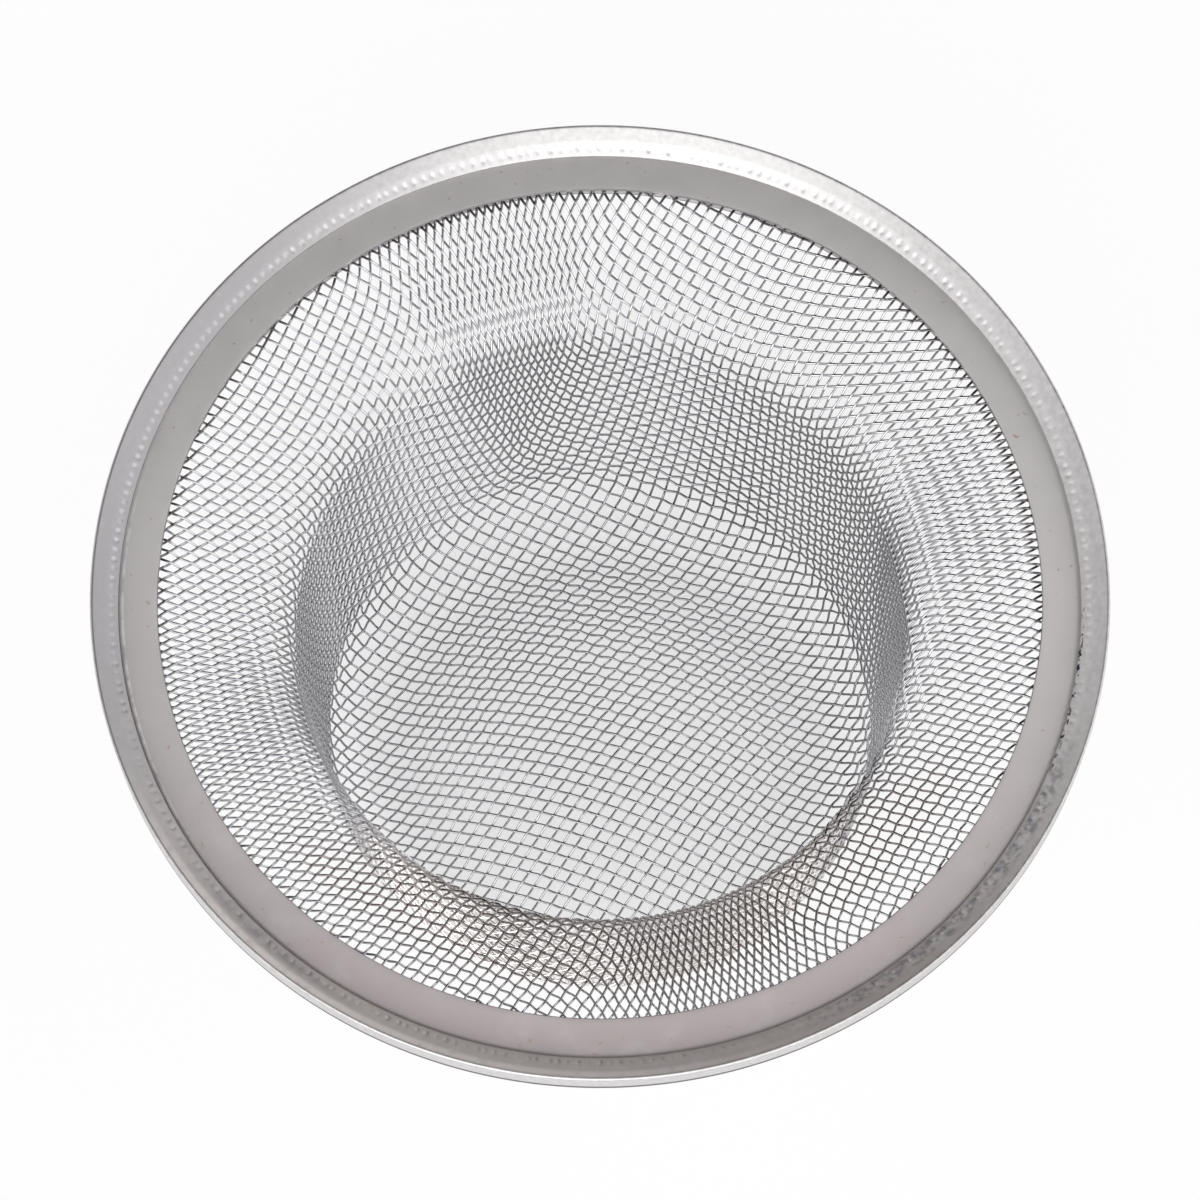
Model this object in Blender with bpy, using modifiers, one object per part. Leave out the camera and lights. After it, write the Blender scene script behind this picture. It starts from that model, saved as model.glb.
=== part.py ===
"""Drain protector: a wire-cloth strainer basket clamped in a two-piece sheet-steel rim.

The axis of the strainer is +Z. The foot of the basket stands on z = 0, and the origin is on the axis.
Heights inside the rim are measured from the crease, where the hem's cut edge meets the upper ring.
"""

import math

import bmesh
import bpy
from mathutils import Vector

MM = 0.001

# Widths from the rim inwards, as seen from above
RIM_RADIUS = 57.0 * MM
HEM_WIDTH = 3.25 * MM
BAND_WIDTH = 4.35 * MM
BRIM_WIDTH = 14.5 * MM
WALL_LEAN = 3.3 * MM

# Sheet steel and wire cloth
SHEET = 0.3 * MM
CLOTH = 0.5 * MM
FIT_GAP = 0.3 * MM

# Upper ring: flat under the hem, then rising towards the opening
BAND_RISE = 1.0 * MM
HIDDEN_TONGUE = 1.6 * MM

# Lower ring: hem, bead, outer wall and flat seat
BEAD_HEIGHT = 2.3 * MM
BEAD_WIDTH = 1.1 * MM
BEAD_ROUND_SHARE = 0.68
WALL_FOOT_INSET = 0.3 * MM
SEAT_ROUND = 0.7 * MM
SEAT_WIDTH = 4.4 * MM

# Basket, measured to the middle of the cloth
BASKET_DEPTH = 48.0 * MM
CLOTH_TUCK = 1.25 * MM
BRIM_BEND = 2.5 * MM
SHOULDER_DROP = 5.6 * MM
SHOULDER_ROUND = 9.0 * MM
FOOT_ROUND = 7.0 * MM
DOME_SLOPE = math.radians(29.0)
CROWN_SHARE = 0.66

# Windows, a plain grid that stands for the fine openings between the wires
WINDOWS_AROUND = 24
WINDOWS_AROUND_DOME = 12
BAR_SHARE = 0.25
WINDOW_LENGTH = 6.0 * MM
BAR_WIDTH = 1.6 * MM
CROWN_PLATE_RADIUS = 4.5 * MM

# Fineness
SEGMENTS = 64
SLIGHT_BEND_STEPS = 1
BEND_STEPS = 2
SHOULDER_STEPS = 4
FOOT_STEPS = 4
FOOT_RISE_STEPS = 2
DOME_STEPS = 4
ROLL_STEPS = 4
WELD = 0.00001 * MM


def clear_scene():
    """Remove every object that the new file starts with."""
    for thing in list(bpy.data.objects):
        bpy.data.objects.remove(thing, do_unlink=True)


def make_collection(name):
    """Make a collection for the strainer's pieces."""
    group = bpy.data.collections.new(name)
    bpy.context.scene.collection.children.link(group)
    return group


def make_metal(name, colour, roughness):
    """Make a plain stainless steel."""
    metal = bpy.data.materials.new(name)
    metal.use_nodes = True
    shader = metal.node_tree.nodes["Principled BSDF"]
    shader.inputs["Base Color"].default_value = (*colour, 1.0)
    shader.inputs["Metallic"].default_value = 1.0
    shader.inputs["Roughness"].default_value = roughness
    return metal


def fillet(before, corner, after, radius, steps):
    """Return the points of a round of the given radius between two straight runs."""
    back = (before - corner).normalized()
    onward = (after - corner).normalized()
    half_angle = back.angle(onward) / 2
    centre = corner + (back + onward).normalized() * (radius / math.sin(half_angle))
    start = corner + back * (radius / math.tan(half_angle)) - centre
    end = corner + onward * (radius / math.tan(half_angle)) - centre
    sweep = start.angle_signed(end)
    points = []
    for step in range(steps + 1):
        turn = -sweep * step / steps
        spoke = Vector((
            start.x * math.cos(turn) - start.y * math.sin(turn),
            start.x * math.sin(turn) + start.y * math.cos(turn),
        ))
        points.append(centre + spoke)
    return points


def rounded_path(corners):
    """Join corners given as (point, round radius, steps) into one path."""
    path = [corners[0][0]]
    for index in range(1, len(corners) - 1):
        corner, radius, steps = corners[index]
        path += fillet(corners[index - 1][0], corner, corners[index + 1][0], radius, steps)
    path.append(corners[-1][0])
    return path


def turn_sheet(name, profile, thickness, offset, metal, group):
    """Turn a profile of (radius, height) points about the axis and give it a thickness."""
    mesh = bpy.data.meshes.new(name)
    points = [(point.x, 0.0, point.y) for point in profile]
    edges = [(index, index + 1) for index in range(len(points) - 1)]
    mesh.from_pydata(points, edges, [])
    mesh.materials.append(metal)
    piece = bpy.data.objects.new(name, mesh)
    group.objects.link(piece)

    screw = piece.modifiers.new("turn", "SCREW")
    screw.axis = "Z"
    screw.steps = SEGMENTS
    screw.render_steps = SEGMENTS
    screw.use_merge_vertices = True
    screw.merge_threshold = WELD
    screw.use_smooth_shade = True

    solidify = piece.modifiers.new("sheet", "SOLIDIFY")
    solidify.thickness = thickness
    solidify.offset = offset
    solidify.use_even_offset = True
    return piece


def crease_radius():
    """Radius of the crease, where the hem ends on the upper ring."""
    return RIM_RADIUS - HEM_WIDTH


def opening_radius():
    """Radius of the open mouth, at the inner edge of the upper ring."""
    return crease_radius() - BAND_WIDTH


def shoulder_radius():
    """Radius at which the sloping brim and the steep wall would meet, but for their round."""
    return opening_radius() - BRIM_WIDTH


def crease_height():
    """Height of the crease above the foot of the basket."""
    return BASKET_DEPTH + CLOTH / 2


def band_slope():
    """Slope of the upper ring's band, which rises from the crease to the opening."""
    return math.atan2(BAND_RISE, BAND_WIDTH)


def under_band(radius, depth):
    """Point at a radius, the given depth square below the band's upper face."""
    drop = depth / math.cos(band_slope())
    rise = (crease_radius() - radius) * math.tan(band_slope())
    return Vector((radius, crease_height() + rise - drop))


def band_corner(depth):
    """Point where the flat tongue meets the band, at a depth below the upper face."""
    inset = depth * math.tan(band_slope() / 2)
    return Vector((crease_radius() - inset, crease_height() - depth))


def cloth_depth():
    """Depth of the middle of the cloth below the upper ring's face."""
    return SHEET + FIT_GAP + CLOTH / 2


def seat_depth():
    """Depth of the lower ring's underside below the upper ring's face."""
    return cloth_depth() + CLOTH / 2 + FIT_GAP + SHEET


def build_upper_ring(metal, group):
    """Washer on top of the cloth: a flat tongue under the hem and a band that rises inwards."""
    top = crease_height()
    profile = [
        Vector((opening_radius(), top + BAND_RISE)),
        Vector((crease_radius(), top)),
        Vector((crease_radius() + HIDDEN_TONGUE, top)),
    ]
    return turn_sheet("upper_ring", profile, SHEET, -1.0, metal, group)


def build_lower_ring(metal, group):
    """Ring under the cloth, with its edge rolled up into a bead and hemmed in over the upper ring."""
    top = crease_height()
    seat = top - seat_depth()
    bead_round = BEAD_WIDTH * BEAD_ROUND_SHARE
    hem_edge = Vector((crease_radius(), top + FIT_GAP + SHEET))
    bead_start = Vector((RIM_RADIUS - BEAD_WIDTH, top + BEAD_HEIGHT))
    bead_side = Vector((RIM_RADIUS, top + BEAD_HEIGHT))
    wall_foot = Vector((RIM_RADIUS - WALL_FOOT_INSET, seat))
    seat_bend = Vector((RIM_RADIUS - SEAT_WIDTH, seat))
    inner_edge = under_band(opening_radius() + SHEET, seat_depth())
    profile = rounded_path([
        (hem_edge, 0.0, 0),
        (bead_start, bead_round, ROLL_STEPS),
        (bead_side, bead_round, ROLL_STEPS),
        (wall_foot, SEAT_ROUND, ROLL_STEPS),
        (seat_bend, BRIM_BEND, SLIGHT_BEND_STEPS),
        (inner_edge, 0.0, 0),
    ])
    return turn_sheet("lower_ring", profile, SHEET, -1.0, metal, group)


def foot_centre_radius():
    """Radius of the ring that the basket stands on, at the middle of its foot's round."""
    return shoulder_radius() - WALL_LEAN - FOOT_ROUND


def dome_path():
    """Domed bottom, from its even slope at the foot's round to the crown on the axis."""
    run = foot_centre_radius() - FOOT_ROUND * math.sin(DOME_SLOPE)
    crown_run = run * CROWN_SHARE
    crown_round = crown_run / math.sin(DOME_SLOPE)
    slope_start = CLOTH / 2 + FOOT_ROUND * (1 - math.cos(DOME_SLOPE))
    slope_end = slope_start + (run - crown_run) * math.tan(DOME_SLOPE)
    centre_height = slope_end - crown_round * math.cos(DOME_SLOPE)
    points = []
    for step in range(DOME_STEPS + 1):
        angle = DOME_SLOPE * (1 - step / DOME_STEPS)
        spoke = Vector((math.sin(angle), math.cos(angle)))
        points.append(Vector((0.0, centre_height)) + crown_round * spoke)
    return points


def foot_path():
    """Round of the foot, from the wall down to the standing ring and up the dome's slope."""
    centre = Vector((foot_centre_radius(), CLOTH / 2 + FOOT_ROUND))
    angles = [math.pi / 2 * step / FOOT_STEPS for step in range(FOOT_STEPS + 1)]
    for step in range(1, FOOT_RISE_STEPS + 1):
        angles.append(math.pi / 2 + DOME_SLOPE * step / FOOT_RISE_STEPS)
    return [centre + FOOT_ROUND * Vector((math.cos(angle), -math.sin(angle))) for angle in angles]


def cloth_path():
    """Middle of the cloth: edge in the hem, brim, shoulder, wall, foot and domed bottom."""
    depth = cloth_depth()
    edge = Vector((crease_radius() + CLOTH_TUCK, crease_height() - depth))
    brim_top = under_band(opening_radius(), depth)
    shoulder = Vector((shoulder_radius(), crease_height() - SHOULDER_DROP))
    foot = foot_path()
    path = rounded_path([
        (edge, 0.0, 0),
        (band_corner(depth), BRIM_BEND, SLIGHT_BEND_STEPS),
        (brim_top, BRIM_BEND, BEND_STEPS),
        (shoulder, SHOULDER_ROUND, SHOULDER_STEPS),
        (foot[0], 0.0, 0),
    ])
    return path + foot[1:] + dome_path()


def distances_along(path):
    """Distance along a path to each of its points."""
    distances = [0.0]
    for before, after in zip(path, path[1:]):
        distances.append(distances[-1] + (after - before).length)
    return distances


def distance_to_radius(path, radius):
    """Distance along a path that runs inwards to where it reaches a radius."""
    distances = distances_along(path)
    for index in range(len(path) - 1):
        outer, inner = path[index].x, path[index + 1].x
        if outer >= radius > inner:
            share = (outer - radius) / (outer - inner)
            return distances[index] + share * (distances[index + 1] - distances[index])
    return distances[-1]


def point_along(path, distance):
    """Point at a distance along a path."""
    distances = distances_along(path)
    for index in range(len(path) - 1):
        if distance <= distances[index + 1]:
            share = (distance - distances[index]) / (distances[index + 1] - distances[index])
            return path[index].lerp(path[index + 1], share)
    return path[-1]


def window_rows(start, end):
    """Start and end distances of the rows of windows that fit evenly in a run, a bar apart."""
    count = max(1, round((end - start + BAR_WIDTH) / (WINDOW_LENGTH + BAR_WIDTH)))
    pitch = (end - start + BAR_WIDTH) / count
    return [(start + row * pitch, start + (row + 1) * pitch - BAR_WIDTH) for row in range(count)]


def add_marks(path, marks):
    """Add points at the given distances along a path, in place of points right beside them."""
    places = list(marks)
    for distance in distances_along(path):
        if all(abs(distance - mark) > CLOTH for mark in marks):
            places.append(distance)
    return [point_along(path, place) for place in sorted(places)]


def turn_grid(path, wall_rows, dome_rows):
    """Turn the cloth's path about the axis and leave the windows open."""
    mesh = bpy.data.meshes.new("cloth_path")
    edges = [(index, index + 1) for index in range(len(path) - 1)]
    mesh.from_pydata([(point.x, 0.0, point.y) for point in path], edges, [])
    turned = bpy.data.objects.new("cloth_path", mesh)
    bpy.context.scene.collection.objects.link(turned)
    screw = turned.modifiers.new("turn", "SCREW")
    screw.axis = "Z"
    screw.steps = 2 * WINDOWS_AROUND
    screw.render_steps = 2 * WINDOWS_AROUND
    screw.use_merge_vertices = True
    screw.merge_threshold = WELD
    screw.use_smooth_shade = True
    grid = bpy.data.meshes.new_from_object(turned.evaluated_get(bpy.context.evaluated_depsgraph_get()))
    bpy.data.objects.remove(turned, do_unlink=True)

    distances = distances_along(path)
    middles = []
    for index in range(len(path) - 1):
        along = (distances[index] + distances[index + 1]) / 2
        on_dome = any(start < along < end for start, end in dome_rows)
        in_row = on_dome or any(start < along < end for start, end in wall_rows)
        middles.append(((path[index] + path[index + 1]) / 2, in_row, on_dome))

    step = math.pi / WINDOWS_AROUND
    bars_per_dome_bar = WINDOWS_AROUND // WINDOWS_AROUND_DOME
    work = bmesh.new()
    work.from_mesh(grid)
    open_faces = []
    for face in work.faces:
        radius = sum(vertex.co.xy.length for vertex in face.verts) / len(face.verts)
        place = Vector((radius, face.calc_center_median().z))
        middle, in_row, on_dome = min(middles, key=lambda entry: (entry[0] - place).length)
        centre = face.calc_center_median()
        slot = math.floor(math.atan2(centre.y, centre.x) % (2 * math.pi) / step)
        between_bars = slot % 2 == 1 or on_dome and slot // 2 % bars_per_dome_bar != 0
        if in_row and between_bars:
            open_faces.append(face)
    bmesh.ops.delete(work, geom=open_faces, context="FACES")

    for vertex in work.verts:
        angle = math.atan2(vertex.co.y, vertex.co.x)
        if round(angle / step) % 2 == 1:
            angle -= step * (1 - 2 * BAR_SHARE)
            radius = vertex.co.xy.length
            vertex.co.x = radius * math.cos(angle)
            vertex.co.y = radius * math.sin(angle)
    work.to_mesh(grid)
    work.free()
    return grid


def build_mesh_basket(metal, group):
    """Wire cloth, as one thin skin with a plain grid of windows."""
    path = cloth_path()
    distances = distances_along(path)
    foot = distances[min(range(len(path)), key=lambda index: path[index].y)]
    brim = distance_to_radius(path, opening_radius()) + BAR_WIDTH
    crown = distance_to_radius(path, CROWN_PLATE_RADIUS)
    wall_rows = window_rows(brim, foot - BAR_WIDTH / 2)
    dome_rows = window_rows(foot + BAR_WIDTH / 2, crown)
    marks = [foot] + [end for row in wall_rows + dome_rows for end in row]
    grid = turn_grid(add_marks(path, marks), wall_rows, dome_rows)
    grid.name = "mesh_basket"
    grid.materials.clear()
    grid.materials.append(metal)
    piece = bpy.data.objects.new("mesh_basket", grid)
    group.objects.link(piece)
    solidify = piece.modifiers.new("sheet", "SOLIDIFY")
    solidify.thickness = CLOTH
    solidify.offset = 0.0
    solidify.use_even_offset = True
    return piece


def main():
    """Build the strainer."""
    clear_scene()
    strainer = make_collection("drain_protector")
    dull_steel = make_metal("dull_sheet_steel", (0.46, 0.45, 0.45), 0.42)
    bright_steel = make_metal("bright_sheet_steel", (0.62, 0.60, 0.59), 0.30)
    wire_steel = make_metal("steel_wire_cloth", (0.74, 0.75, 0.78), 0.25)
    build_upper_ring(dull_steel, strainer)
    build_lower_ring(bright_steel, strainer)
    build_mesh_basket(wire_steel, strainer)


main()
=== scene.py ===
"""Looks of the drain protector: two pressed rings, and the wire cloth as single woven wires."""

import math
from typing import NamedTuple

import bpy
import numpy as np
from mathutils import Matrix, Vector


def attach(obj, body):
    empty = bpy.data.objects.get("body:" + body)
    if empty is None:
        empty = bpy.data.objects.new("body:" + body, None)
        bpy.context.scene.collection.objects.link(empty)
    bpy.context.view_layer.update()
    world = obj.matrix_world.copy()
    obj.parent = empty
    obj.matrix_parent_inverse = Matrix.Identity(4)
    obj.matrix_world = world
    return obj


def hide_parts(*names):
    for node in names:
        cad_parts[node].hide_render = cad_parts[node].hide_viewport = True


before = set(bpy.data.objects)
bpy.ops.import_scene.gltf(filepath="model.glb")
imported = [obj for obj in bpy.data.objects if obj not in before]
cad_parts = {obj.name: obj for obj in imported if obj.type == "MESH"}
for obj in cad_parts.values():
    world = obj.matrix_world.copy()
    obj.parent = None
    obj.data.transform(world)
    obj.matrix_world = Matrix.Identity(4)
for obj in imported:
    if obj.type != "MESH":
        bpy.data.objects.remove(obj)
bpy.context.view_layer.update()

MM = 0.001

# Lengths are in millimetres. Profiles give heights from the crease, which is at this height above the foot
CREASE_HEIGHT = 48.25

# Rim
RIM_RADIUS = 57.0
CREASE_RADIUS = 53.75
OPENING_RADIUS = 49.4
SHEET = 0.3
RING_SEGMENTS = 2400

# Upper ring: cut edge, band and hidden tongue, with a slight ripple of the band
BAND_RISE = 1.0
BAND_STEP = 0.6
HIDDEN_TONGUE = 1.6
EDGE_DROP = 0.12
EDGE_LEAN = 0.02
EDGE_ROUND = 0.08
BAND_BEND = 1.2
BAND_SEED = 5
RIPPLES = 8
RIPPLE_SIZES = (0.3, 1.0)
RIPPLE_HEIGHT = 0.012
RIPPLE_REACH = 4.0

# Lower ring: hem, outer wall and seat
HEM_EDGE_HEIGHT = 0.45
HEM_BEND_POINT = (55.3, 1.5)
HEM_BEND = 2.5
HEM_CORNER_POINT = (56.978, 2.510)
HEM_CORNER_ROUND = 0.25
HEM_MIDDLE_RADIUS = 55.0
HEM_STEP = 0.2
WALL_FOOT_RADIUS = 56.7
WALL_FOOT_ROUND = 0.6
SEAT_DEPTH = 1.7
SEAT_WIDTH = 4.4
SEAT_BEND = 1.0

# Row of small dents in the hem, in the part of it that is this far above the crease
HEM_SEED = 11
DENT_ABOVE = 0.2
DENT_COUNT = 300
DENT_SCATTER = 0.2
DENT_SIZES = (0.3, 1.0)
DENT_RADIUS = 54.6
DENT_BREADTH = 0.25
DENT_LENGTH = 0.22
DENT_DEPTH = 0.15

# Nicks in the hem's cut edge, between two bearings in degrees
NICK_ABOVE = 0.1
NICK_COUNT = 13
NICK_BEARINGS = (-2.6, -21.6)
NICK_SCATTER = 0.5
NICK_SIZES = (0.4, 1.0)
NICK_LENGTHS = (0.12, 0.25)
NICK_RADIUS = 54.0
NICK_END_RADIUS = 54.3
NICK_FADE = 0.5
NICK_RISE = 0.10
NICK_PUSH = 0.35

# Basket, measured to the middle of the cloth
CLOTH_DEPTH = 0.82
CLOTH_TUCK = 1.25
CLOTH_SPARE = 12.0
BASKET_DEPTH = 47.97
SHOULDER_RADIUS = 34.9
SHOULDER_DROP = 5.6
SHOULDER_ROUND = 9.0
WALL_LEAN = 3.3
FOOT_ROUND = 7.0
BRIM_BEND = 2.5
DOME_SLOPE = math.radians(29.0)
CROWN_SHARE = 0.66
CROWN_STEPS = 30
FOOT_STEPS = 60
SHOULDER_STEPS = 40
BRIM_STEPS = 8
TUCK_STEPS = 6
PROFILE_POINTS = 4000

# Wires of the cloth
WIRE_RADIUS = 0.15
PITCH = 1.43
WIRES_EACH_SIDE = 66
FEWEST_CROSSINGS = 3
STEPS_PER_PITCH = 4
WIRE_SIDES = 6

# The cloth is drawn out down the wall as the basket is pressed
DRAW_SHARE = 0.75
FOOT_PULL = 0.9
BRIM_PULL = 7.9
WALL_MARGINS = (0.1, 0.4)
PULL_SMOOTHING = 161
PULL_START = 12.0

# Two wires that cross on the axis: their angles in degrees there and at the brim, and where they turn
WARP_TURNS = (-15.3, -21.5)
WEFT_TURNS = (50.8, 54.0)
TURN_START = 8.0
TURN_END = 75.0

# Search for the crossings
SEARCH_PITCHES = 3
HALVINGS = 40
NEWTON_STEPS = 12
LONGEST_STEP = 0.6
WORST_MISS = 0.05
PITCHES_PAST_EDGE = 4
NUDGE = 1e-3

# Light of the room: direction, cosines where the patch starts and is full, strengths outside and inside
ROOM_LIGHT = (
    ((0.0, 0.0, 1.0), 0.0, 1.0, 1.28, 1.28),
    ((-0.3, 0.15, 1.0), 0.32, 0.56, 0.0, -1.20),
    ((0.0, -0.86, 0.46), 0.60, 0.93, 0.0, 1.35),
    ((-1.0, 0.3, 0.2), 0.6, 0.95, 0.0, 0.6),
    ((1.0, 0.3, 0.2), 0.6, 0.95, 0.0, 0.3),
    ((0.0, 1.0, 0.45), 0.7, 0.97, 0.0, -0.3),
    ((0.6, -0.05, 0.8), 0.927, 0.985, 0.0, 1.1),
    ((-0.72, -0.4, 0.6), 0.86, 0.97, 0.0, 0.8),
)
# Window lamp, in metres and watts
WINDOW_PLACE = (-0.35, -1.0, 0.70)
WINDOW_AIM = (0, 0, 0.03)
WINDOW_SIZE = 0.9
WINDOW_POWER = 4.0

# White share of the floor in the basket's painted shade and away from it, and that painted shade's centre and
# radii
FLOOR_GLOW = (0.62, 0.92)
FLOOR_COLOUR = (0.93, 0.93, 0.93)
FLOOR_ROUGHNESS = 0.9
FLOOR_SIZE = 6.0
FLOOR_DROP = 0.2
SHADE_CENTRE = (0.0, 18.0, 0.0)
SHADE_RADII = (32.0, 60.0)

# Camera, in metres
CAMERA_ELEVATION = math.radians(69.5)
CAMERA_DISTANCE = 1.0
FRAME_WIDTH = 0.1342
SENSOR_WIDTH = 36.0

# Steel's grain
CLOUD_DETAIL = 5.0
CLOUD_RANGE = (0.3, 0.7)
STAIN_DETAIL = 3.0
FINE_DETAIL = 3.0
FINE_SCALE = 9
BUMP_DEPTH = 0.02


class Mark(NamedTuple):
    """Colour laid on a ring, towards one side and broken up: a stain, painted shade or a painted highlight.

    ring has the radii where it starts, is full, is still full and ends. bearing is its side in degrees, and
    spread the reach to that side, as shares of the rim's radius, where it starts and is full. grain is the
    noise's scale and the values where it starts and is full, or for dots their count and such values of a
    wave. heights, where given, are those above the foot where it starts and is full.
    """
    tint: tuple
    ring: tuple
    bearing: float
    spread: tuple
    grain: tuple
    strength: float
    heights: tuple = ()
    dots: bool = False


ALL_ROUND = (-2.0, -1.5)
ON_HEM = (48.6, 48.7)

# Painted shade: the dull band turns darker and warmer towards the near side.
NEAR_SIDE_SHADE = Mark((0.43, 0.375, 0.38), (0.0, 1.0, 60.0, 61.0), -90.0, (-0.3, 1.0), (300.0, -0.4, 0.6), 0.9)
# Painted shade on the cut edge of the band's opening, all round.
CUT_EDGE_SHADE = Mark((0.13, 0.12, 0.13), (48.0, 48.1, 49.46, 49.56), 90.0, ALL_ROUND, (900.0, 0.2, 0.5), 0.8)
# Painted highlight: a thin light line on the band just inside the crease, on the left.
BAND_HIGHLIGHT_LINE = Mark((0.98, 0.96, 0.96), (53.20, 53.32, 53.55, 53.65), 190.0, (0.8, 0.95), (700.0, 0.3, 0.6), 0.7)
BAND_SPECKS = Mark((0.40, 0.27, 0.19), (49.8, 50.2, 53.2, 53.5), 180.0, ALL_ROUND, (1100.0, 0.68, 0.73), 0.6)

# Painted shade: the hem greyer and darker on the left side.
LEFT_HEM_SHADE = Mark((0.315, 0.305, 0.315), (53.0, 53.6, 56.65, 56.9), 180.0, (0.1, 0.8),
                (900.0, -0.2, 0.4), 0.9, ON_HEM)
# Painted shade and reflection: the hem darker and brownish on the near side.
NEAR_HEM_SHADE = Mark((0.48, 0.43, 0.41), (53.0, 53.6, 56.65, 56.78), -90.0, (0.1, 0.9),
                 (500.0, 0.1, 0.55), 0.8, ON_HEM)
# Painted highlight: the bead and outer wall lighter on the near left.
BEAD_HIGHLIGHT = Mark((0.80, 0.75, 0.73), (55.5, 56.1, 56.65, 56.8), -110.0, (0.6, 0.97),
                  (600.0, 0.1, 0.5), 0.6, ON_HEM)
# Painted glints: an even row of light dots over the hem's dents, on the far side.
DENT_GLINTS = Mark((0.93, 0.93, 0.96), (54.2, 54.5, 54.7, 55.0), 90.0, (-0.3, 0.2),
                (float(DENT_COUNT), -0.5, 1.0), 0.2, dots=True)
BLUE_LEFT = Mark((0.08, 0.095, 0.13), (53.6, 53.9, 54.7, 55.8), -132.0, (0.93, 0.99), (1000.0, 0.20, 0.60), 0.85)
BLUE_RIGHT = Mark((0.12, 0.13, 0.17), (53.8, 54.2, 55.2, 56.0), -42.0, (0.86, 0.93), (1100.0, 0.38, 0.66), 0.6)
# Painted shade: a dark line in the crease, on the left.
CREASE_SHADE_LINE = Mark((0.15, 0.14, 0.17), (53.6, 53.68, 53.80, 53.95), 205.0, (0.75, 0.95), (600.0, 0.2, 0.5), 0.8)
# Painted shadow: dark spots in the nicks of the hem's cut edge.
NICK_SHADOWS = Mark((0.03, 0.03, 0.04), (53.6, 53.7, 54.05, 54.2), -12.0, (0.928, 0.936),
                  (1500.0, 0.535, 0.575), 1.0)
# Painted shade: a dark line at the foot of the outer wall, all round.
FOOT_SHADE = Mark((0.07, 0.065, 0.065), (56.0, 56.1, 60.0, 61.0), 90.0, ALL_ROUND,
                 (900.0, -0.5, 0.2), 0.95, (47.8, 47.65))

# Painted shade: the wires of the wall and shoulder darker, except towards the near side.
WALL_WIRE_SHADE = Mark((0.43, 0.43, 0.45), (25.0, 29.5, 34.0, 37.0), 90.0, (-0.45, -0.1), (300.0, -0.4, 0.4), 0.9)
# Painted shade: the wall wires darker still towards the far right.
RIGHT_WALL_WIRE_SHADE = Mark((0.26, 0.26, 0.27), (25.0, 29.5, 34.0, 37.0), 35.0, (0.05, 0.4), (300.0, -0.4, 0.4), 0.6)
# Painted highlight: the near wall's wires lighter, where their outer face is seen.
NEAR_WALL_WIRE_HIGHLIGHT = Mark((0.86, 0.82, 0.80), (27.0, 29.0, 34.2, 34.8), -90.0, (0.25, 0.45), (400.0, -0.2, 0.5), 0.9)
# Painted shade: the near brim's wires darker and brownish.
NEAR_BRIM_WIRE_SHADE = Mark((0.28, 0.25, 0.24), (34.4, 35.0, 43.0, 48.0), -82.0, (0.30, 0.50), (1300.0, 0.1, 0.5), 0.95)
# Painted shade: the wires dark where they run under the rim, towards the far side.
EDGE_WIRE_SHADE = Mark((0.10, 0.09, 0.10), (48.3, 48.8, 60.0, 61.0), 90.0, (-0.35, 0.1), (1500.0, 0.3, 0.5), 0.9)


def fillet(before, corner, after, radius, steps):
    """Points of a round between two straight runs."""
    before, corner, after = (np.array(point, float) for point in (before, corner, after))
    back = (before - corner) / np.linalg.norm(before - corner)
    onward = (after - corner) / np.linalg.norm(after - corner)
    half_angle = math.acos(float(np.clip(back @ onward, -1.0, 1.0))) / 2
    middle = (back + onward) / np.linalg.norm(back + onward)
    centre = corner + middle * radius / math.sin(half_angle)
    start = corner + back * radius / math.tan(half_angle) - centre
    end = corner + onward * radius / math.tan(half_angle) - centre
    sweep = math.atan2(start[0] * end[1] - start[1] * end[0], float(start @ end))
    turns = sweep * np.linspace(0.0, 1.0, steps + 1)
    spokes = np.stack([
        start[0] * np.cos(turns) - start[1] * np.sin(turns),
        start[0] * np.sin(turns) + start[1] * np.cos(turns),
    ], axis=1)
    return list(centre + spokes)


def rounded_path(corners):
    """Join corners given as (point, radius of the round, its steps) into one path."""
    path = [np.array(corners[0][0], float)]
    for index in range(1, len(corners) - 1):
        point, radius, steps = corners[index]
        path += fillet(corners[index - 1][0], point, corners[index + 1][0], radius, steps)
    path.append(np.array(corners[-1][0], float))
    return np.array(path)


def band_slope():
    """Slope of the upper ring's band."""
    return math.atan2(BAND_RISE, CREASE_RADIUS - OPENING_RADIUS)


def under_band(radius, depth):
    """Point at a radius, the given depth square below the band's upper face."""
    rise = (CREASE_RADIUS - radius) * math.tan(band_slope())
    return (radius, rise - depth / math.cos(band_slope()))


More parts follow.
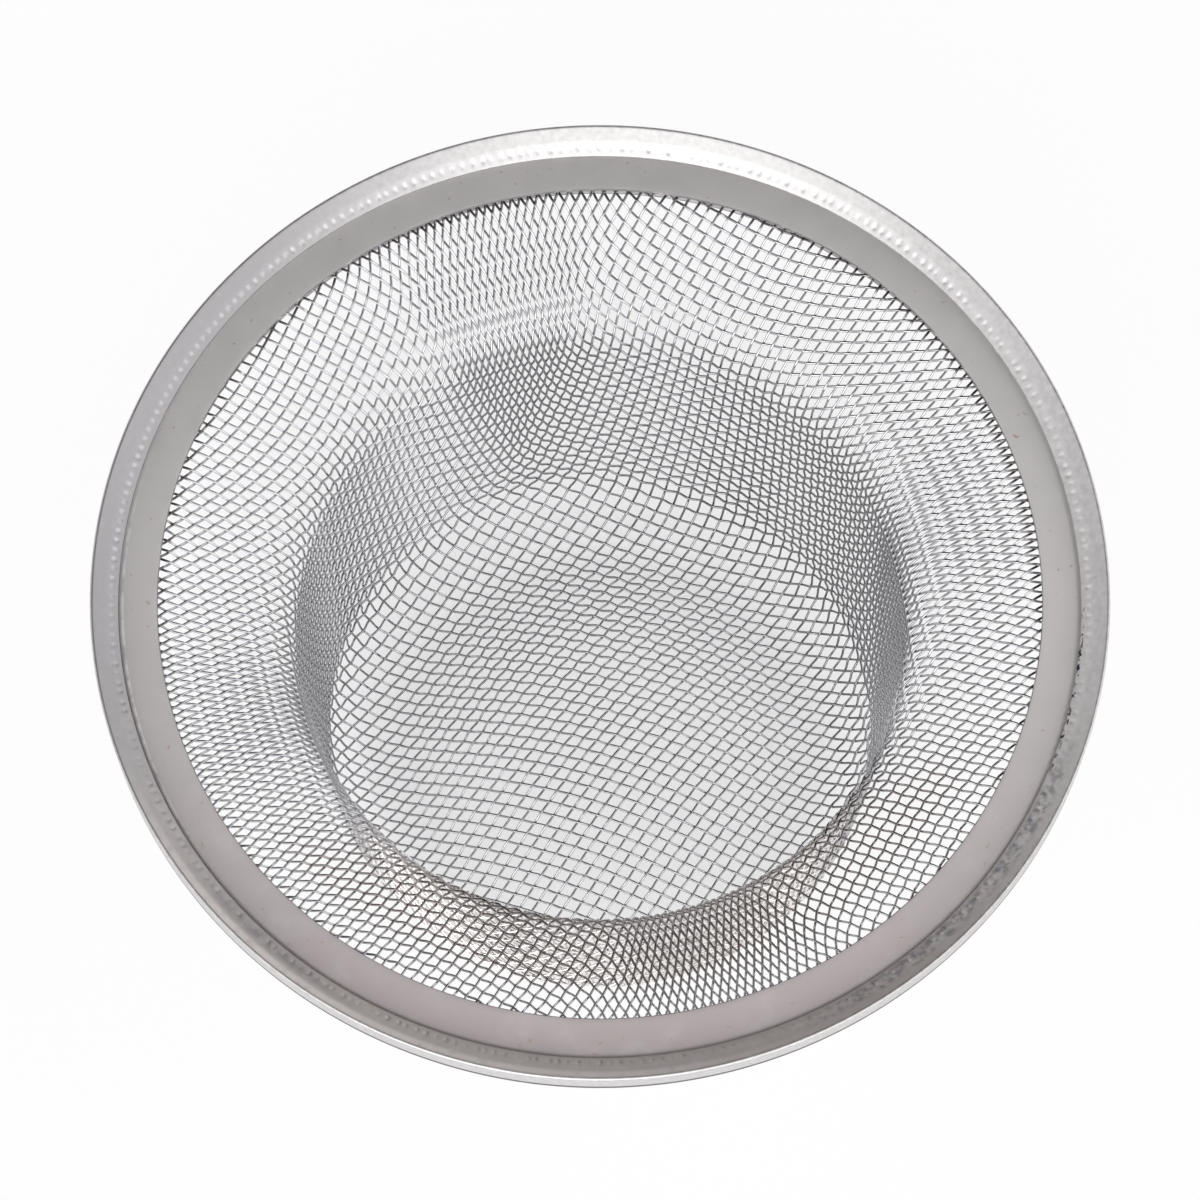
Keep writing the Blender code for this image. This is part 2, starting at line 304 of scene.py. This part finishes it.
def cloth_profile():
    """Middle of the cloth from the axis to past its edge, as (radius, height from the crease)."""
    foot_radius = SHOULDER_RADIUS - WALL_LEAN - FOOT_ROUND
    run = foot_radius - FOOT_ROUND * math.sin(DOME_SLOPE)
    crown_run = run * CROWN_SHARE
    crown_round = crown_run / math.sin(DOME_SLOPE)
    slope_start = FOOT_ROUND * (1 - math.cos(DOME_SLOPE)) - BASKET_DEPTH
    slope_end = slope_start + (run - crown_run) * math.tan(DOME_SLOPE)
    turns = DOME_SLOPE * np.linspace(0.0, 1.0, CROWN_STEPS)
    crown = np.stack([
        crown_round * np.sin(turns),
        slope_end + crown_round * (np.cos(turns) - math.cos(DOME_SLOPE)),
    ], axis=1)
    turns = (math.pi / 2 + DOME_SLOPE) * np.linspace(1.0, 0.0, FOOT_STEPS)
    foot = np.stack([
        foot_radius + FOOT_ROUND * np.cos(turns),
        FOOT_ROUND - BASKET_DEPTH - FOOT_ROUND * np.sin(turns),
    ], axis=1)
    brim = rounded_path([
        (foot[-1], 0.0, 0),
        ((SHOULDER_RADIUS, -SHOULDER_DROP), SHOULDER_ROUND, SHOULDER_STEPS),
        (under_band(OPENING_RADIUS, CLOTH_DEPTH), BRIM_BEND, BRIM_STEPS),
        ((CREASE_RADIUS, -CLOTH_DEPTH), BRIM_BEND, TUCK_STEPS),
        ((CREASE_RADIUS + CLOTH_SPARE, -CLOTH_DEPTH), 0.0, 0),
    ])
    return np.concatenate([crown, foot, brim[1:]])


def resample(points, count):
    """The same path with evenly spaced points, and their distances along it."""
    steps = np.hypot(*np.diff(points, axis=0).T)
    points = points[np.concatenate([[True], steps > 1e-9])]
    steps = steps[steps > 1e-9]
    along = np.concatenate([[0.0], np.cumsum(steps)])
    even = np.linspace(0.0, along[-1], count)
    return np.stack([np.interp(even, along, column) for column in points.T], axis=1), even


def smoothed(values, width):
    """Running mean that keeps the ends."""
    kernel = np.hanning(width)
    kernel /= kernel.sum()
    padded = np.concatenate([np.full(width, values[0]), values, np.full(width, values[-1])])
    return np.convolve(padded, kernel, "same")[width:-width]


class Basket:
    """Surface of the cloth. A place on it is a flat point whose distance from 0 runs along the profile.

    The net of wires is laid on a softened form of the surface, in which the wall is shorter and
    leans more. Wires of equal pitch there come out drawn down the real wall, as pressing leaves them.
    """

    def __init__(self):
        profile, along = resample(cloth_profile(), PROFILE_POINTS)
        radius, height = profile.T
        wall_start = along[np.argmax(radius > SHOULDER_RADIUS - WALL_LEAN - WALL_MARGINS[0])]
        wall_end = along[np.argmax((radius > SHOULDER_RADIUS - WALL_MARGINS[1]) & (along > wall_start))]
        pull = np.interp(along, [0.0, wall_start, wall_end], [0.0, -FOOT_PULL, BRIM_PULL])
        pull = smoothed(pull, PULL_SMOOTHING) * np.clip(along / PULL_START, 0.0, 1.0)
        soft = np.stack([radius + pull, DRAW_SHARE * height], axis=1)
        steps = np.hypot(*np.diff(soft, axis=0).T)
        soft_along = np.concatenate([[0.0], np.cumsum(steps)])
        self.along = np.linspace(0.0, soft_along[-1], PROFILE_POINTS)
        real_radius = np.interp(self.along, soft_along, radius)
        self.height = np.interp(self.along, soft_along, height)
        soft_radius = np.interp(self.along, soft_along, soft[:, 0])
        self.soft_height = np.interp(self.along, soft_along, soft[:, 1])
        self.share = self.per_length(real_radius)
        self.soft_share = self.per_length(soft_radius)
        step = self.along[1]
        self.share_rate = np.gradient(self.soft_share, step)
        self.height_rate = np.gradient(self.soft_height, step)
        self.edge = self.along[np.argmax(real_radius > CREASE_RADIUS + CLOTH_TUCK)]

    def per_length(self, radius):
        """Radius divided by the distance along the profile."""
        share = np.ones_like(radius)
        share[1:] = radius[1:] / self.along[1:]
        share[0] = share[1]
        return share

    def soft(self, place):
        """Points of the softened surface."""
        reach = np.hypot(place[..., 0], place[..., 1])
        share = np.interp(reach, self.along, self.soft_share)
        height = np.interp(reach, self.along, self.soft_height)
        return np.stack([share * place[..., 0], share * place[..., 1], height], axis=-1)

    def real(self, place):
        """Points of the real surface, with heights above the foot."""
        reach = np.hypot(place[..., 0], place[..., 1])
        share = np.interp(reach, self.along, self.share)
        height = np.interp(reach, self.along, self.height)
        return np.stack([share * place[..., 0], share * place[..., 1], CREASE_HEIGHT + height], axis=-1)

    def slopes(self, place):
        """How a softened point moves with each of the place's two numbers."""
        reach = np.maximum(np.hypot(place[..., 0], place[..., 1]), 1e-9)
        share = np.interp(reach, self.along, self.soft_share)
        share_rate = np.interp(reach, self.along, self.share_rate)
        height_rate = np.interp(reach, self.along, self.height_rate)
        slopes = []
        for axis in (0, 1):
            unit = place[..., axis] / reach
            columns = [share_rate * unit * place[..., 0], share_rate * unit * place[..., 1], height_rate * unit]
            columns[axis] = columns[axis] + share
            slopes.append(np.stack(columns, axis=-1))
        return slopes


def main_wire(basket, turns):
    """Places of the crossings on a wire that passes over the axis, from its angles at the axis and the brim."""
    start, end = (math.radians(turn) for turn in turns)

    def place(reach):
        share = min(max((reach - TURN_START) / (TURN_END - TURN_START), 0.0), 1.0)
        angle = start + (end - start) * share * share * (3 - 2 * share)
        return np.array([reach * math.cos(angle), reach * math.sin(angle)])

    places = [np.zeros(2)]
    reach = 0.0
    for _ in range(WIRES_EACH_SIDE):
        here = basket.soft(places[-1])
        low, high = reach, reach + SEARCH_PITCHES * PITCH
        for _ in range(HALVINGS):
            reach = (low + high) / 2
            if np.linalg.norm(basket.soft(place(reach)) - here) < PITCH:
                low = reach
            else:
                high = reach
        places.append(place(reach))
    return np.array(places)


def next_crossings(basket, left, right, behind):
    """Places one pitch from two neighbours each, on the far side from the crossing behind them."""
    left_point = basket.soft(left)
    right_point = basket.soft(right)
    place = left + right - behind
    for _ in range(NEWTON_STEPS):
        point = basket.soft(place)
        first, second = basket.slopes(place)
        from_left = point - left_point
        from_right = point - right_point
        left_miss = (from_left ** 2).sum(-1) - PITCH ** 2
        right_miss = (from_right ** 2).sum(-1) - PITCH ** 2
        a, b = 2 * (from_left * first).sum(-1), 2 * (from_left * second).sum(-1)
        c, d = 2 * (from_right * first).sum(-1), 2 * (from_right * second).sum(-1)
        size = a * d - b * c
        size = np.where(np.abs(size) < 1e-6, 1e-6, size)
        step = np.stack([right_miss * b - left_miss * d, left_miss * c - right_miss * a], axis=-1)
        step = step / size[:, None]
        length = np.maximum(np.hypot(step[:, 0], step[:, 1]), 1e-9)
        place = place + step * np.minimum(1.0, LONGEST_STEP / length)[:, None]
    point = basket.soft(place)
    miss = np.abs(np.linalg.norm(point - left_point, axis=-1) - PITCH)
    miss += np.abs(np.linalg.norm(point - right_point, axis=-1) - PITCH)
    too_far = np.hypot(*place.T) > basket.edge + PITCHES_PAST_EDGE * PITCH
    place[(miss > WORST_MISS) | too_far] = np.nan
    return place


def lay_net(basket):
    """Places of all crossings, as a square grid with the axis at its middle."""
    half = WIRES_EACH_SIDE
    net = np.full((2 * half + 1, 2 * half + 1, 2), np.nan)
    warp = main_wire(basket, WARP_TURNS)
    weft = main_wire(basket, WEFT_TURNS)
    for k in range(half + 1):
        net[half + k, half], net[half - k, half] = warp[k], -warp[k]
        net[half, half + k], net[half, half - k] = weft[k], -weft[k]
    for side in (1, -1):
        for end in (1, -1):
            for ring in range(2, 2 * half + 1):
                i = np.arange(max(1, ring - half), min(half, ring - 1) + 1)
                j = ring - i
                left = net[half + side * (i - 1), half + end * j]
                right = net[half + side * i, half + end * (j - 1)]
                behind = net[half + side * (i - 1), half + end * (j - 1)]
                known = ~np.isnan(left[:, 0] + right[:, 0] + behind[:, 0])
                if known.any():
                    found = next_crossings(basket, left[known], right[known], behind[known])
                    net[half + side * i[known], half + end * j[known]] = found
    return net


def spline(before, start, end, after, share):
    """Smooth curve between start and end, led by their neighbours."""
    return 0.5 * (
        2 * start + (end - before) * share
        + (2 * before - 5 * start + 4 * end - after) * share ** 2
        + (3 * start - before - 3 * end + after) * share ** 3
    )


def wire_paths(basket, net, lift_sign):
    """Points and normals along each wire that runs along the grid's first axis."""
    point = basket.real(net)
    across = (basket.real(net + [NUDGE, 0.0]) - point) / NUDGE
    along = (basket.real(net + [0.0, NUDGE]) - point) / NUDGE
    normal = np.cross(across, along)
    normal /= np.linalg.norm(normal, axis=-1, keepdims=True)
    count = net.shape[0]
    parity = np.add.outer(np.arange(count), np.arange(count)) % 2 * 2 - 1
    reach = np.hypot(net[..., 0], net[..., 1])
    inside = reach < basket.edge
    paths = []
    for k in range(count):
        rows = np.flatnonzero(inside[:, k])
        if len(rows) < FEWEST_CROSSINGS:
            continue
        rows = np.arange(rows[0], rows[-1] + 1)
        line, up = point[rows, k], normal[rows, k]
        lift = lift_sign * parity[rows, k]
        if np.isnan(line).any():
            continue
        before = np.concatenate([[2 * line[0] - line[1]], line[:-1]])
        after = np.concatenate([line[1:], [2 * line[-1] - line[-2]]])
        places, ups = [], []
        for step in range(STEPS_PER_PITCH):
            share = step / STEPS_PER_PITCH
            middle = spline(before[:-1], line[:-1], line[1:], after[1:], share)
            way = (1 - share) * up[:-1] + share * up[1:]
            way /= np.linalg.norm(way, axis=-1, keepdims=True)
            wave = lift[:-1] * WIRE_RADIUS * math.cos(math.pi * share)
            places.append(middle + way * wave[:, None])
            ups.append(way)
        places = np.stack(places, axis=1).reshape(-1, 3)
        ups = np.stack(ups, axis=1).reshape(-1, 3)
        paths.append((places, ups))
    return paths


def tube_mesh(name, paths, radius, sides):
    """One mesh with a closed round tube along each path."""
    turns = 2 * math.pi * np.arange(sides) / sides
    points, quads, caps = [], [], []
    start = 0
    for places, ups in paths:
        ahead = np.gradient(places, axis=0)
        ahead /= np.linalg.norm(ahead, axis=-1, keepdims=True)
        side = np.cross(ahead, ups)
        side /= np.linalg.norm(side, axis=-1, keepdims=True)
        top = np.cross(side, ahead)
        ring = side[:, None] * np.cos(turns)[:, None] + top[:, None] * np.sin(turns)[:, None]
        points.append((places[:, None] + radius * ring).reshape(-1, 3))
        rows = np.arange(len(places) - 1)[:, None] * sides
        column = np.arange(sides)
        following = (column + 1) % sides
        quad = np.stack([
            rows + column, rows + following,
            rows + sides + following, rows + sides + column,
        ], axis=-1)
        quads.append(start + quad.reshape(-1, 4))
        caps.append(start + column[::-1])
        caps.append(start + (len(places) - 1) * sides + column)
        start += len(places) * sides
    return mesh_from(name, np.concatenate(points), np.concatenate(quads), caps)


def mesh_from(name, points, quads, caps=()):
    """Mesh object from points in millimetres, quads and a few larger faces."""
    mesh = bpy.data.meshes.new(name)
    mesh.vertices.add(len(points))
    mesh.vertices.foreach_set("co", (points * MM).astype(np.float32).ravel())
    corners = [quads.ravel()] + [np.asarray(cap) for cap in caps]
    totals = np.concatenate([np.full(len(quads), 4), [len(cap) for cap in caps]]).astype(np.int32)
    corners = np.concatenate(corners).astype(np.int32)
    mesh.loops.add(len(corners))
    mesh.loops.foreach_set("vertex_index", corners)
    mesh.polygons.add(len(totals))
    starts = np.concatenate([[0], np.cumsum(totals)[:-1]]).astype(np.int32)
    mesh.polygons.foreach_set("loop_start", starts)
    mesh.polygons.foreach_set("loop_total", totals)
    mesh.update(calc_edges=True)
    mesh.shade_smooth()
    piece = bpy.data.objects.new(name, mesh)
    bpy.context.scene.collection.objects.link(piece)
    return piece


def sheet_faces(path, thickness):
    """Outer face of a sheet, which follows the path, and its inner face, on the path's right."""
    ahead = np.gradient(path, axis=0)
    ahead /= np.linalg.norm(ahead, axis=-1, keepdims=True)
    inward = np.stack([ahead[:, 1], -ahead[:, 0]], axis=1)
    return path, path + thickness * inward


def turned_sheet(name, path, thickness, shape):
    """Turn a sheet about the axis. shape(angle, radius, height) moves the points of both its faces."""
    outer, inner = sheet_faces(path, thickness)
    angle = 2 * math.pi * np.arange(RING_SEGMENTS) / RING_SEGMENTS
    rings = []
    for face in (outer, inner[::-1]):
        radius = np.repeat(face[None, :, 0], RING_SEGMENTS, axis=0)
        height = np.repeat(face[None, :, 1], RING_SEGMENTS, axis=0)
        radius, height = shape(angle[:, None], radius, height)
        rings.append(np.stack([
            radius * np.cos(angle)[:, None],
            radius * np.sin(angle)[:, None],
            CREASE_HEIGHT + height,
        ], axis=-1))
    points = np.concatenate(rings, axis=1)
    around, count = points.shape[:2]
    rows = np.arange(around)[:, None]
    following = (rows + 1) % around
    column = np.arange(count)
    onward = (column + 1) % count
    quads = np.stack([
        rows * count + column, rows * count + onward,
        following * count + onward, following * count + column,
    ], axis=-1).reshape(-1, 4)
    return mesh_from(name, points.reshape(-1, 3), quads)


def subdivided(path, length):
    """Add points so that no run that starts above the crease is longer than the length."""
    result = [path[0]]
    for start, end in zip(path[:-1], path[1:]):
        count = math.ceil(np.linalg.norm(end - start) / length) if start[1] > 0 else 1
        for step in range(1, count + 1):
            result.append(start + (end - start) * step / count)
    return np.array(result)


def make_upper_ring():
    """Dull inner band of the rim, very slightly rippled."""
    path = rounded_path([
        ((OPENING_RADIUS, BAND_RISE - EDGE_DROP), 0.0, 0),
        ((OPENING_RADIUS + EDGE_LEAN, BAND_RISE), EDGE_ROUND, 3),
        ((CREASE_RADIUS, 0.0), BAND_BEND, 4),
        ((CREASE_RADIUS + HIDDEN_TONGUE, 0.0), 0.0, 0),
    ])
    noise = np.random.default_rng(BAND_SEED)
    phases = noise.uniform(0, 2 * math.pi, RIPPLES)
    sizes = noise.uniform(*RIPPLE_SIZES, RIPPLES)

    def shape(angle, radius, height):
        wave = sum(size * np.sin((k + 2) * angle + phase) for k, (size, phase) in enumerate(zip(sizes, phases)))
        return radius, height + RIPPLE_HEIGHT * wave * (CREASE_RADIUS - radius) / RIPPLE_REACH

    return turned_sheet("upper_ring_sheet", subdivided(path, BAND_STEP), SHEET, shape)


def bump(angles, centre, radius, length):
    """Soft bump round a circle, 1 at its centre."""
    away = (angles - centre + math.pi) % (2 * math.pi) - math.pi
    return np.exp(-(away * radius / length) ** 2)


def make_lower_ring():
    """Bright outer band: the hem with its dents and nicks, the wall and the seat."""
    path = rounded_path([
        ((CREASE_RADIUS, HEM_EDGE_HEIGHT), 0.0, 0),
        (HEM_BEND_POINT, HEM_BEND, 4),
        (HEM_CORNER_POINT, HEM_CORNER_ROUND, 10),
        ((WALL_FOOT_RADIUS, -SEAT_DEPTH), WALL_FOOT_ROUND, 6),
        ((RIM_RADIUS - SEAT_WIDTH, -SEAT_DEPTH), SEAT_BEND, 3),
        (under_band(OPENING_RADIUS + SHEET, SEAT_DEPTH), 0.0, 0),
    ])
    noise = np.random.default_rng(HEM_SEED)
    scatter = noise.uniform(-DENT_SCATTER, DENT_SCATTER, DENT_COUNT)
    dents = 2 * math.pi * (np.arange(DENT_COUNT) + scatter) / DENT_COUNT
    depths = noise.uniform(*DENT_SIZES, DENT_COUNT)
    angles = 2 * math.pi * np.arange(RING_SEGMENTS) / RING_SEGMENTS
    dent_wave = np.zeros(RING_SEGMENTS)
    for dent, depth in zip(dents, depths):
        dent_wave += depth * bump(angles, dent, HEM_MIDDLE_RADIUS, DENT_LENGTH)
    scatter = noise.uniform(-NICK_SCATTER, NICK_SCATTER, NICK_COUNT)
    nick_wave = np.zeros(RING_SEGMENTS)
    for nick in np.radians(np.linspace(*NICK_BEARINGS, NICK_COUNT) + scatter):
        size = noise.uniform(*NICK_SIZES)
        nick_wave += size * bump(angles, nick, NICK_RADIUS, noise.uniform(*NICK_LENGTHS))

    def shape(angle, radius, height):
        row = np.exp(-((radius - DENT_RADIUS) / DENT_BREADTH) ** 2) * (height > DENT_ABOVE)
        edge = np.clip((NICK_END_RADIUS - radius) / NICK_FADE, 0.0, 1.0) * (height > NICK_ABOVE)
        height = height - DENT_DEPTH * row * dent_wave[:, None] + NICK_RISE * edge * nick_wave[:, None]
        radius = radius + NICK_PUSH * edge * nick_wave[:, None]
        return radius, height

    return turned_sheet("lower_ring_sheet", subdivided(path, HEM_STEP), SHEET, shape)


def link(tree, source, target):
    """Link two sockets."""
    tree.links.new(source, target)


def computed(tree, operation, first, second=None):
    """Result of a Math node, whose second value may be a plain number."""
    node = tree.nodes.new("ShaderNodeMath")
    node.operation = operation
    link(tree, first, node.inputs[0])
    if isinstance(second, float):
        node.inputs[1].default_value = second
    elif second is not None:
        link(tree, second, node.inputs[1])
    return node.outputs["Value"]


def measured(tree, operation, vector, constant=(0.0, 0.0, 0.0)):
    """Number that a Vector Math node makes of a vector and a constant one."""
    node = tree.nodes.new("ShaderNodeVectorMath")
    node.operation = operation
    node.inputs[1].default_value = constant
    link(tree, vector, node.inputs[0])
    return node.outputs["Value"]


def eased(tree, value, start, full, low=0.0, high=1.0):
    """Smooth step from low at start to high at full, where start may be the greater."""
    ramp = tree.nodes.new("ShaderNodeMapRange")
    ramp.interpolation_type = "SMOOTHSTEP"
    ramp.inputs["From Min"].default_value = min(start, full)
    ramp.inputs["From Max"].default_value = max(start, full)
    ramp.inputs["To Min"].default_value = low if start < full else high
    ramp.inputs["To Max"].default_value = high if start < full else low
    link(tree, value, ramp.inputs["Value"])
    return ramp.outputs["Result"]


def noise_value(tree, position, scale, detail):
    """Value of a noise texture."""
    noise = tree.nodes.new("ShaderNodeTexNoise")
    noise.inputs["Scale"].default_value = scale
    noise.inputs["Detail"].default_value = detail
    link(tree, position, noise.inputs["Vector"])
    return noise.outputs["Fac"]


def colour_mix(tree, factor, first, second):
    """Mix of a first colour, which may be a socket, with a second one."""
    mix = tree.nodes.new("ShaderNodeMix")
    mix.data_type = "RGBA"
    mix.inputs["B"].default_value = (*second, 1.0)
    link(tree, factor, mix.inputs["Factor"])
    if isinstance(first, tuple):
        mix.inputs["A"].default_value = (*first, 1.0)
    else:
        link(tree, first, mix.inputs["A"])
    return mix.outputs["Result"]


def dot_wave(tree, place, count):
    """Even wave between -1 and 1 round the axis."""
    angle = computed(tree, "ARCTAN2", place.outputs["Y"], place.outputs["X"])
    return computed(tree, "COSINE", computed(tree, "MULTIPLY", angle, count))


def add_mark(tree, position, shade, mark):
    """Lay a mark over a colour: a stain, painted shade or a painted highlight."""
    flat = tree.nodes.new("ShaderNodeVectorMath")
    flat.operation = "MULTIPLY"
    flat.inputs[1].default_value = (1.0 / MM, 1.0 / MM, 0.0)
    link(tree, position, flat.inputs[0])
    place = tree.nodes.new("ShaderNodeSeparateXYZ")
    link(tree, position, place.inputs[0])
    reach = measured(tree, "LENGTH", flat.outputs["Vector"])
    side = math.radians(mark.bearing)
    way = (math.cos(side) / RIM_RADIUS, math.sin(side) / RIM_RADIUS, 0.0)
    facing = measured(tree, "DOT_PRODUCT", flat.outputs["Vector"], way)
    scale, pattern_start, pattern_full = mark.grain
    if mark.dots:
        pattern = dot_wave(tree, place, scale)
    else:
        pattern = noise_value(tree, position, scale, STAIN_DETAIL)
    start, full, still_full, end = mark.ring
    shares = [
        eased(tree, reach, end, still_full),
        eased(tree, facing, *mark.spread),
        eased(tree, pattern, pattern_start, pattern_full),
    ]
    if mark.heights:
        shares.append(eased(tree, place.outputs["Z"], *(height * MM for height in mark.heights)))
    total = eased(tree, reach, start, full)
    for share in (*shares, mark.strength):
        total = computed(tree, "MULTIPLY", total, share)
    return colour_mix(tree, total, shade, mark.tint)


def steel(name, colour, dark_colour, metallic, roughness, rough_spread, grain, bump_strength, marks):
    """Stainless steel with cloudy colour, uneven polish, a fine grain, and marks: stains, painted shade and
    painted highlights.
    """
    material = bpy.data.materials.new(name)
    material.use_nodes = True
    tree = material.node_tree
    shader = tree.nodes["Principled BSDF"]
    shader.inputs["Metallic"].default_value = metallic
    position = tree.nodes.new("ShaderNodeTexCoord").outputs["Object"]
    clouds = noise_value(tree, position, grain, CLOUD_DETAIL)
    shade = colour_mix(tree, clouds, dark_colour, colour)
    for mark in marks:
        shade = add_mark(tree, position, shade, mark)
    link(tree, shade, shader.inputs["Base Color"])
    polish = tree.nodes.new("ShaderNodeMapRange")
    polish.inputs["From Min"].default_value = CLOUD_RANGE[0]
    polish.inputs["From Max"].default_value = CLOUD_RANGE[1]
    polish.inputs["To Min"].default_value = roughness - rough_spread
    polish.inputs["To Max"].default_value = roughness + rough_spread
    link(tree, clouds, polish.inputs["Value"])
    link(tree, polish.outputs["Result"], shader.inputs["Roughness"])
    bumps = tree.nodes.new("ShaderNodeBump")
    bumps.inputs["Strength"].default_value = bump_strength
    bumps.inputs["Distance"].default_value = BUMP_DEPTH * MM
    link(tree, noise_value(tree, position, grain * FINE_SCALE, FINE_DETAIL), bumps.inputs["Height"])
    link(tree, bumps.outputs["Normal"], shader.inputs["Normal"])
    return material


def floor_material():
    """Plain white studio floor, a little darker to the eye in a painted shadow disc where the basket's shade
    falls.
    """
    material = bpy.data.materials.new("floor_white")
    material.use_nodes = True
    tree = material.node_tree
    shader = tree.nodes["Principled BSDF"]
    shader.inputs["Base Color"].default_value = (*FLOOR_COLOUR, 1.0)
    shader.inputs["Roughness"].default_value = FLOOR_ROUGHNESS
    glow = tree.nodes.new("ShaderNodeEmission")
    rays = tree.nodes.new("ShaderNodeLightPath")
    seen = rays.outputs["Is Camera Ray"]
    for name in ("Is Glossy Ray", "Is Transmission Ray"):
        seen = computed(tree, "MAXIMUM", seen, rays.outputs[name])
    position = tree.nodes.new("ShaderNodeTexCoord").outputs["Object"]
    # Painted shadow: the floor's glow is lowered in a disc round the shade's centre.
    reach = measured(tree, "DISTANCE", position, [MM * number for number in SHADE_CENTRE])
    glowing = eased(tree, reach, *(MM * radius for radius in SHADE_RADII), *FLOOR_GLOW)
    mix = tree.nodes.new("ShaderNodeMixShader")
    link(tree, computed(tree, "MULTIPLY", seen, glowing), mix.inputs["Fac"])
    link(tree, shader.outputs["BSDF"], mix.inputs[1])
    link(tree, glow.outputs["Emission"], mix.inputs[2])
    link(tree, mix.outputs["Shader"], tree.nodes["Material Output"].inputs["Surface"])
    return material


def make_floor():
    """Large pale floor just under the foot of the basket."""
    bpy.ops.mesh.primitive_plane_add(size=FLOOR_SIZE, location=(0.0, 0.0, -FLOOR_DROP * MM))
    floor = bpy.context.object
    floor.name = "studio_floor"
    floor.data.materials.append(floor_material())


def make_world():
    """Soft pale room with bright front and sides, and a wide dark patch overhead that the wires reflect."""
    world = bpy.data.worlds.new("studio")
    bpy.context.scene.world = world
    world.use_nodes = True
    tree = world.node_tree
    background = tree.nodes["Background"]
    direction = tree.nodes.new("ShaderNodeTexCoord").outputs["Generated"]
    total = None
    for way, start, full, outside, inside in ROOM_LIGHT:
        facing = measured(tree, "DOT_PRODUCT", direction, Vector(way).normalized())
        patch = eased(tree, facing, start, full, outside, inside)
        total = computed(tree, "ADD", total, patch) if total else patch
    link(tree, total, background.inputs["Strength"])
    background.inputs["Color"].default_value = (1.0, 1.0, 1.0, 1.0)


def make_lamp(name, place, aim, size, power):
    """Square soft lamp."""
    data = bpy.data.lights.new(name, "AREA")
    data.shape = "SQUARE"
    data.size = size
    data.energy = power
    lamp = bpy.data.objects.new(name, data)
    bpy.context.scene.collection.objects.link(lamp)
    lamp.location = place
    lamp.rotation_euler = (Vector(aim) - Vector(place)).to_track_quat("-Z", "Y").to_euler()


def make_camera():
    """Distant camera at the photograph's viewing angle, aimed at the middle of the crease's circle."""
    aim = Vector((0.0, 0.0, CREASE_HEIGHT * MM))
    data = bpy.data.cameras.new("camera")
    data.sensor_width = SENSOR_WIDTH
    data.lens = data.sensor_width * CAMERA_DISTANCE / FRAME_WIDTH
    camera = bpy.data.objects.new("camera", data)
    bpy.context.scene.collection.objects.link(camera)
    toward = Vector((0.0, -math.cos(CAMERA_ELEVATION), math.sin(CAMERA_ELEVATION)))
    camera.location = aim + CAMERA_DISTANCE * toward
    camera.rotation_euler = (math.pi / 2 - CAMERA_ELEVATION, 0.0, 0.0)
    bpy.context.scene.camera = camera


def main():
    """Dress the three CAD nodes and set the stage."""
    bpy.context.scene.view_settings.view_transform = "Standard"
    # Most of the marks on these steels are painted shade or painted highlights, set by side and ring.
    dull = steel(
        "dull_sheet_steel", (0.65, 0.627, 0.622), (0.595, 0.572, 0.572),
        metallic=0.4, roughness=0.65, rough_spread=0.04, grain=400.0, bump_strength=0.15,
        marks=(NEAR_SIDE_SHADE, BAND_SPECKS, BAND_HIGHLIGHT_LINE, CUT_EDGE_SHADE),
    )
    bright = steel(
        "bright_sheet_steel", (0.72, 0.70, 0.70), (0.42, 0.41, 0.41),
        metallic=0.7, roughness=0.42, rough_spread=0.06, grain=1500.0, bump_strength=0.4,
        marks=(LEFT_HEM_SHADE, NEAR_HEM_SHADE, BEAD_HIGHLIGHT, DENT_GLINTS, BLUE_LEFT, BLUE_RIGHT,
               CREASE_SHADE_LINE, NICK_SHADOWS, FOOT_SHADE),
    )
    wire = steel(
        "steel_wire", (0.50, 0.50, 0.52), (0.44, 0.435, 0.45),
        metallic=1.0, roughness=0.06, rough_spread=0.02, grain=500.0, bump_strength=0.1,
        marks=(WALL_WIRE_SHADE, RIGHT_WALL_WIRE_SHADE, NEAR_WALL_WIRE_HIGHLIGHT, NEAR_BRIM_WIRE_SHADE, EDGE_WIRE_SHADE),
    )

    upper = make_upper_ring()
    lower = make_lower_ring()
    basket = Basket()
    net = lay_net(basket)
    warp = tube_mesh("warp_wires", wire_paths(basket, net, 1.0), WIRE_RADIUS, WIRE_SIDES)
    weft_net = np.swapaxes(net, 0, 1)
    weft = tube_mesh("weft_wires", wire_paths(basket, weft_net, -1.0), WIRE_RADIUS, WIRE_SIDES)

    dressed = (
        (upper, dull, "upper_ring", "dull_sheet_steel"),
        (lower, bright, "lower_ring", "bright_sheet_steel"),
        (warp, wire, "mesh_basket", "steel_wire_cloth"),
        (weft, wire, "mesh_basket", "steel_wire_cloth"),
    )
    for piece, material, node, slot in dressed:
        piece.data.materials.append(material)
        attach(piece, "root")
        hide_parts(node)

    make_floor()
    make_world()
    make_lamp("front_window", WINDOW_PLACE, WINDOW_AIM, WINDOW_SIZE, WINDOW_POWER)
    make_camera()


main()
